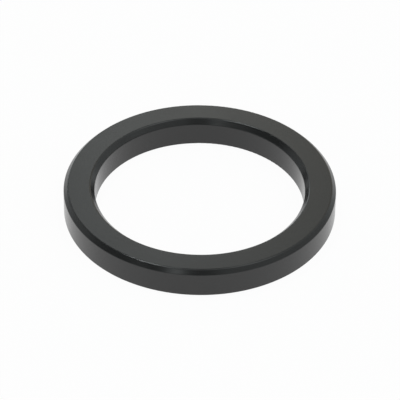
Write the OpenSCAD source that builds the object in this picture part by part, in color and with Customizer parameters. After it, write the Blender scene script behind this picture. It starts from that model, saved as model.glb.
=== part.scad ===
// Group head gasket: one moulded rubber ring that seals a portafilter to the group of an espresso machine.
// The ring lies on its sealing face, with that face's centre at the origin and the chamfered face up.

/* [Ring] */
// Outside diameter, which grips the outer wall of the group's groove
outer_d = 73; // [68:0.5:80]
// Inside diameter, which slides over the rim of the shower screen
inner_d = 56.3; // [48:0.1:60]
// Height from the sealing face to the back face
height = 7.85; // [6:0.05:10]

/* [Chamfers round the back face] */
// Radial width of the chamfer at the outside
outer_chamfer_w = 1.1; // [0.6:0.05:1.6]
// Radial width of the chamfer at the bore
inner_chamfer_w = 1.25; // [0.6:0.05:1.6]
// Slope of both chamfers below the back face, in degrees
chamfer_slope = 47; // [35:1:50]

/* [Moulded edges] */
// Radius between each chamfer and the back face
back_edge_r = 0.6; // [0.1:0.05:0.8]
// Radius between the outside chamfer and the outside wall
outer_wall_edge_r = 0.4; // [0.1:0.05:0.8]
// Radius between the bore's chamfer and its wall
inner_wall_edge_r = 0.6; // [0.1:0.05:0.8]
// Radius on the two edges of the sealing face
sealing_edge_r = 0.15; // [0.1:0.05:0.5]

/* [Hidden] */

outer_r = outer_d / 2;
inner_r = inner_d / 2;
outer_chamfer_h = outer_chamfer_w * tan(chamfer_slope);
inner_chamfer_h = inner_chamfer_w * tan(chamfer_slope);

// Corners of the section, anticlockwise from the bore's lower edge, each with the radius that rounds it
section = [
    [[inner_r, 0], sealing_edge_r],
    [[outer_r, 0], sealing_edge_r],
    [[outer_r, height - outer_chamfer_h], outer_wall_edge_r],
    [[outer_r - outer_chamfer_w, height], back_edge_r],
    [[inner_r + inner_chamfer_w, height], back_edge_r],
    [[inner_r, height - inner_chamfer_h], inner_wall_edge_r]
];

// How far an arc stands proud of a sloping side, so that the two cross and leave no sliver between them
arc_lap = 0.0003;

function unit(v) = v / norm(v);
function left_of(v) = [-v[1], v[0]];

// Directions of the outline's sides that come into and leave corner i
function side_in(corners, i) = unit(corners[i][0] - corners[(i + len(corners) - 1) % len(corners)][0]);
function side_out(corners, i) = unit(corners[(i + 1) % len(corners)][0] - corners[i][0]);

// Centre of the arc that rounds corner i, and the point where the arc meets one of its two sides
function arc_centre(corners, i) =
    let (before = side_in(corners, i), after = side_out(corners, i))
    corners[i][0] + (after - before) * corners[i][1] / cross(before, after);
function arc_end(corners, i, side) =
    let (slopes = side[0] * side[1] != 0)
    arc_centre(corners, i) - left_of(side) * (corners[i][1] - (slopes ? arc_lap : 0));

// A convex outline whose corners are true arcs, tangent to both of their sides
module rounded_outline(corners) {
    polygon([
        for (i = [0 : len(corners) - 1])
            each [arc_end(corners, i, side_in(corners, i)), arc_end(corners, i, side_out(corners, i))]
    ]);
    for (i = [0 : len(corners) - 1])
        translate(arc_centre(corners, i)) circle(r = corners[i][1], $fn = 48);
}

module gasket() {
    color("#303231")
        rotate_extrude($fn = 240)
            rounded_outline(section);
}

gasket();
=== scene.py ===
"""Group head gasket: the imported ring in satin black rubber, on a white floor in a soft studio."""

import math

import bpy
from mathutils import Matrix, Vector

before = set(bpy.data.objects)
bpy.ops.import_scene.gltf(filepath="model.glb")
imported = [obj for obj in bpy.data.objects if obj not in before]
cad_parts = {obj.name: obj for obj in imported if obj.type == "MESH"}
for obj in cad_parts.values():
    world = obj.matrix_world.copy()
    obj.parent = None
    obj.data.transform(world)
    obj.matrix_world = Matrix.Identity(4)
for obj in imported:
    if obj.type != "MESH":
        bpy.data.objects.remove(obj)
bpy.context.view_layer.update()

MM = 0.001

# Camera, from a fit of the ring's outlines in the photograph: metres and degrees
FRAME_PX = 400
SENSOR_MM = 36.0
FOCAL_PX = 2920.8
CAMERA_DISTANCE = 0.7868
CAMERA_ELEVATION = 38.84
CAMERA_ROLL = 0.58
RING_CENTRE_PX = (199.63, 207.18)

# Section of the ring in mm, as in the part's source. Each wall, +1 outside and -1 in the bore, has
# its radius, the width of its chamfer and the radius that rounds the chamfer's lower edge
HEIGHT = 7.85
CHAMFER_SLOPE = math.radians(47)
BACK_EDGE_R = 0.6
WALLS = {1: (36.5, 1.1, 0.4), -1: (28.15, 1.25, 0.6)}
# Height that clears the rounded edges of the sealing face, where the mesh's own normals stay
SEALING_EDGE_TOP = 0.2

# Rubber: its two greys, and how far the grain and the clouds sway its roughness
RUBBER_GREY = (0.0124, 0.0124, 0.0123)
RUBBER_BLOOM = (0.0153, 0.0153, 0.0152)
RUBBER_ROUGHNESS = 0.2
ROUGHNESS_BY_GRAIN = 0.10
ROUGHNESS_BY_CLOUD = 0.06
RUBBER_IOR = 1.55
# Size and depth of the lumps of the mould's grain and of the uneven skin, and size of the clouds
GRAIN_MM, GRAIN_DEPTH_MM = 0.12, 0.0015
SKIN_MM, SKIN_DEPTH_MM = 1.6, 0.003
CLOUD_MM = 14
# Share of the clouds in the bloom, the rest being grain, and where the bloom starts and is full
CLOUD_SHARE = 0.7
BLOOM_FROM, BLOOM_TO = 0.35, 0.7

# Studio, in metres and degrees, where a brightness of 1 is white
FLOOR_REACH = 4.0
FLOOR_DROP_MM = 0.02
FLOOR_WHITE = 0.95
FLOOR_GLOW = 0.96
ROOM_LEVEL = 0.78
# Each patch of the room: azimuth from the camera's side with the right positive, elevation, the
# angle to which it is even, the angle at which it has faded out, and its brightness. Later patches
# cover earlier ones
ROOM_PATCHES = {
    "dim front and sides of the room": (-5.5, 10.2, 126.8, 143.1, 0.48),
    "white paper up to the horizon": (180, -89.9, 93.4, 105, 0.7),
    "gap between the lamps overhead": (179.8, 79.8, 18.4, 38.8, 0.02),
    "softbox overhead at the left": (-84.3, 77, 8.7, 20.7, 1.19),
    "softbox overhead at the right": (100.8, 60.2, 10.3, 30.8, 2.32),
    "pale wall behind left": (-144, 15.5, 10.1, 18.7, 2),
    "lit panel behind the ring": (-178.8, 37.6, 1.1, 4, 2.12),
    "dark curtain at the left": (-84.1, 45.8, 14.4, 29.1, 0.12),
    "dark corner low at the left": (-136.5, 14, 10.2, 11, 0),
    "dark stand left of the camera": (-37.8, 35.6, 7.3, 9.4, 0),
    "camera and its stand": (2.5, 36.5, 11, 15.9, 0.11),
    "gap beside the camera": (-19.7, 41.2, 3.7, 4.9, 2.57),
    "pale wall at the right": (119, 44.9, 25.7, 27.5, 0.69),
    "bare lamp in the left softbox": (-129.1, 71.1, 2.9, 6.1, 20.5),
}
# The room's light is a little cool, but warm where it comes from this patch
COOL_LIGHT = (0.945, 1.0, 1.0)
WARM_LIGHT = (1.0, 0.97, 0.86)
WARM_SIDE = (158, 22, 22, 25.5)

# The Mix node's first socket and its output for each kind of data
MIX_SOCKETS = {"VECTOR": (4, 1), "RGBA": (6, 2)}


class Value:
    """A node's output that Python's arithmetic works on: each operator adds its Math node."""

    def __init__(self, nodes, socket):
        self.nodes, self.socket = nodes, socket

    def math(self, operation, *values):
        return self.nodes.add("ShaderNodeMath", {"operation": operation}, dict(enumerate(values)))

    def __add__(self, other):
        return self.math("ADD", self, other)

    def __sub__(self, other):
        return self.math("SUBTRACT", self, other)

    def __rsub__(self, other):
        return self.math("SUBTRACT", other, self)

    def __mul__(self, other):
        return self.math("MULTIPLY", self, other)

    __radd__, __rmul__ = __add__, __mul__

    def clamped(self, low, high):
        return self.math("MINIMUM", self.math("MAXIMUM", self, low), high)


class Nodes:
    """The node tree of a material or of the world."""

    def __init__(self, owner):
        owner.use_nodes = True
        self.tree = owner.node_tree
        self.tree.nodes.clear()

    def add(self, kind, settings=None, sockets=None, output=0):
        """Adds a node: its settings first, then the values or links of its sockets."""
        node = self.tree.nodes.new(kind)
        for name, setting in (settings or {}).items():
            setattr(node, name, setting)
        for name, value in (sockets or {}).items():
            if isinstance(value, Value):
                self.tree.links.new(value.socket, node.inputs[name])
            else:
                node.inputs[name].default_value = value
        return Value(self, node.outputs[output])

    def end(self, kind, surface):
        """Adds the output node that ends the tree."""
        self.tree.links.new(surface.socket, self.tree.nodes.new(kind).inputs["Surface"])

    def vector(self, operation, sockets, output="Vector"):
        return self.add("ShaderNodeVectorMath", {"operation": operation}, sockets, output)

    def mix(self, kind, factor, first, second, blend="MIX"):
        """Mixes two vectors or two colours."""
        socket, output = MIX_SOCKETS[kind]
        settings = {"data_type": kind, "blend_type": blend}
        sockets = {"Factor": factor, socket: first, socket + 1: second}
        return self.add("ShaderNodeMix", settings, sockets, output)

    def noise(self, position, size, detail, roughness=0.5):
        """Noise from 0 to 1 whose lumps are about size metres across."""
        sockets = {"Vector": position, "Scale": 1 / size, "Detail": detail, "Roughness": roughness}
        return self.add("ShaderNodeTexNoise", {}, sockets, "Fac")

    def ramp(self, value, low, high):
        """0 below low, 1 above high and smooth between."""
        sockets = {"Value": value, "From Min": low, "From Max": high}
        return self.add("ShaderNodeMapRange", {"interpolation_type": "SMOOTHSTEP"}, sockets)


def direction(azimuth, elevation):
    """Unit vector for an azimuth counted from the camera's side and an elevation, in degrees."""
    a, e = math.radians(azimuth), math.radians(elevation)
    return Vector((math.sin(a) * math.cos(e), -math.cos(a) * math.cos(e), math.sin(e)))


def rounded_edges(side, wall_r, chamfer_w, wall_edge_r):
    """A chamfer's two rounded edges: the centre of each, and the normal's lean above and below it."""
    back_r = wall_r - side * (chamfer_w + BACK_EDGE_R * math.tan(CHAMFER_SLOPE / 2))
    foot = HEIGHT - chamfer_w * math.tan(CHAMFER_SLOPE)
    wall_edge_z = foot - wall_edge_r * math.tan(math.pi / 4 - CHAMFER_SLOPE / 2)
    return (
        (back_r, HEIGHT - BACK_EDGE_R, 0, CHAMFER_SLOPE),
        (wall_r - side * wall_edge_r, wall_edge_z, CHAMFER_SLOPE, math.pi / 2),
    )


def moulded_normal(nodes, place):
    """The ring's own normal, which turns evenly over the edges that the mesh rounds with few faces."""
    across = nodes.vector("MULTIPLY", {0: place, 1: (1 / MM, 1 / MM, 0)})
    radius = nodes.vector("LENGTH", {0: across}, "Value")
    height = nodes.vector("DOT_PRODUCT", {0: place, 1: (0, 0, 1 / MM)}, "Value")

    # The normal stands up on the back face, and leans towards the wall over each edge that it passes
    outward, upward = 0, 1
    for side, wall in WALLS.items():
        lean = 0
        for centre_r, centre_z, before, after in rounded_edges(side, *wall):
            away, up = (radius - centre_r) * side, height - centre_z
            lean = away.math("ARCTAN2", away, up).clamped(before, after) - before + lean
        outward = outward + lean.math("SINE", lean) * side
        upward = upward * lean.math("COSINE", lean)

    sideways = nodes.vector("SCALE", {0: nodes.vector("NORMALIZE", {0: across}), "Scale": outward})
    straight = nodes.add("ShaderNodeCombineXYZ", {}, {"Z": upward})
    turn = {"vector_type": "NORMAL", "convert_from": "OBJECT", "convert_to": "WORLD"}
    sockets = {"Vector": nodes.vector("ADD", {0: sideways, 1: straight})}
    normal = nodes.add("ShaderNodeVectorTransform", turn, sockets)
    mesh_normal = nodes.add("ShaderNodeNewGeometry", output="Normal")
    above = height.math("GREATER_THAN", height, SEALING_EDGE_TOP)
    return nodes.mix("VECTOR", above, mesh_normal, normal)


def satin_rubber():
    """Black moulded rubber: a fine mould grain, a faint uneven skin and a trace of pale bloom."""
    material = bpy.data.materials.new("satin_black_rubber")
    nodes = Nodes(material)
    place = nodes.add("ShaderNodeTexCoord", output="Object")
    skin = nodes.noise(place, SKIN_MM * MM, detail=2.0)
    grain = nodes.noise(place, GRAIN_MM * MM, detail=4.0, roughness=0.6)
    cloud = nodes.noise(place, CLOUD_MM * MM, detail=4.0)

    bloom = nodes.ramp(cloud * CLOUD_SHARE + grain * (1 - CLOUD_SHARE), BLOOM_FROM, BLOOM_TO)
    colour = nodes.mix("RGBA", bloom, (*RUBBER_GREY, 1), (*RUBBER_BLOOM, 1))
    sway = (grain - 0.5) * ROUGHNESS_BY_GRAIN + (cloud - 0.5) * ROUGHNESS_BY_CLOUD
    height = skin * (SKIN_DEPTH_MM * MM) + grain * (GRAIN_DEPTH_MM * MM)
    normal = moulded_normal(nodes, place)
    sockets = {"Strength": 1.0, "Distance": 1.0, "Height": height, "Normal": normal}
    bump = nodes.add("ShaderNodeBump", {}, sockets)

    sockets = {
        "Base Color": colour,
        "Roughness": RUBBER_ROUGHNESS + sway,
        "IOR": RUBBER_IOR,
        "Normal": bump,
    }
    nodes.end("ShaderNodeOutputMaterial", nodes.add("ShaderNodeBsdfPrincipled", {}, sockets))
    return material


def lay_floor():
    """White floor, which keeps a faint shadow and looks white both straight and in reflections."""
    mesh = bpy.data.meshes.new("floor")
    around = ((-1, -1), (1, -1), (1, 1), (-1, 1))
    corners = [(x * FLOOR_REACH, y * FLOOR_REACH, -FLOOR_DROP_MM * MM) for x, y in around]
    mesh.from_pydata(corners, [], [(0, 1, 2, 3)])
    floor = bpy.data.objects.new("floor", mesh)
    bpy.context.scene.collection.objects.link(floor)

    material = bpy.data.materials.new("white_floor")
    nodes = Nodes(material)
    matt = nodes.add("ShaderNodeBsdfDiffuse", {}, {"Color": (FLOOR_WHITE,) * 3 + (1,)})
    glow = nodes.add("ShaderNodeEmission", {}, {"Color": (1, 1, 1, 1), "Strength": 1.0})
    seen = nodes.add("ShaderNodeLightPath", output="Is Camera Ray")
    for ray in ("Is Glossy Ray", "Is Transmission Ray"):
        seen = seen.math("MAXIMUM", seen, nodes.add("ShaderNodeLightPath", output=ray))
    surface = nodes.add("ShaderNodeMixShader", {}, {0: seen * FLOOR_GLOW, 1: matt, 2: glow})
    nodes.end("ShaderNodeOutputMaterial", surface)
    mesh.materials.append(material)


def light_room():
    """Soft light from all round, with the darker and brighter places that the rubber mirrors."""
    world = bpy.data.worlds.new("studio")
    bpy.context.scene.world = world
    nodes = Nodes(world)
    toward = nodes.add("ShaderNodeTexCoord", output="Generated")

    def patch(azimuth, elevation, even, faded):
        """1 inside a round patch of the room, 0 outside it and smooth between."""
        sockets = {0: toward, 1: direction(azimuth, elevation)}
        facing = nodes.vector("DOT_PRODUCT", sockets, "Value")
        return nodes.ramp(facing, math.cos(math.radians(faded)), math.cos(math.radians(even)))

    light = ROOM_LEVEL
    for *place, brightness in ROOM_PATCHES.values():
        light = light + (brightness - light) * patch(*place)
    tint = nodes.mix("RGBA", patch(*WARM_SIDE), (*COOL_LIGHT, 1), (*WARM_LIGHT, 1))
    light = nodes.mix("RGBA", 1.0, tint, light, "MULTIPLY")
    seen = nodes.add("ShaderNodeLightPath", output="Is Camera Ray")
    light = nodes.mix("RGBA", seen, light, (1, 1, 1, 1))
    room = nodes.add("ShaderNodeBackground", {}, {"Color": light, "Strength": 1.0})
    nodes.end("ShaderNodeOutputWorld", room)


def place_camera():
    """Camera at the photograph's distance, height and lens, with the ring at its place in the frame."""
    data = bpy.data.cameras.new("camera")
    data.sensor_width = SENSOR_MM
    data.lens = FOCAL_PX / FRAME_PX * SENSOR_MM
    camera = bpy.data.objects.new("camera", data)
    bpy.context.scene.collection.objects.link(camera)

    stand = direction(0, CAMERA_ELEVATION)
    right = Matrix.Rotation(math.radians(CAMERA_ROLL), 3, stand) @ Vector((1, 0, 0))
    up = stand.cross(right)
    # The ring's centre lies this far from the middle of the frame, to the right and down
    off_x, off_y = ((px - FRAME_PX / 2) / FOCAL_PX for px in RING_CENTRE_PX)
    back = (stand + right * off_x - up * off_y).normalized()
    right = up.cross(back).normalized()
    up = back.cross(right)
    turned = Matrix((right, up, back)).transposed().to_4x4()
    camera.matrix_world = Matrix.Translation(stand * CAMERA_DISTANCE) @ turned
    bpy.context.scene.camera = camera


place_camera()
lay_floor()
light_room()
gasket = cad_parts["gasket"]
gasket.data.materials[0] = satin_rubber()
bpy.context.scene.view_settings.view_transform = "Standard"
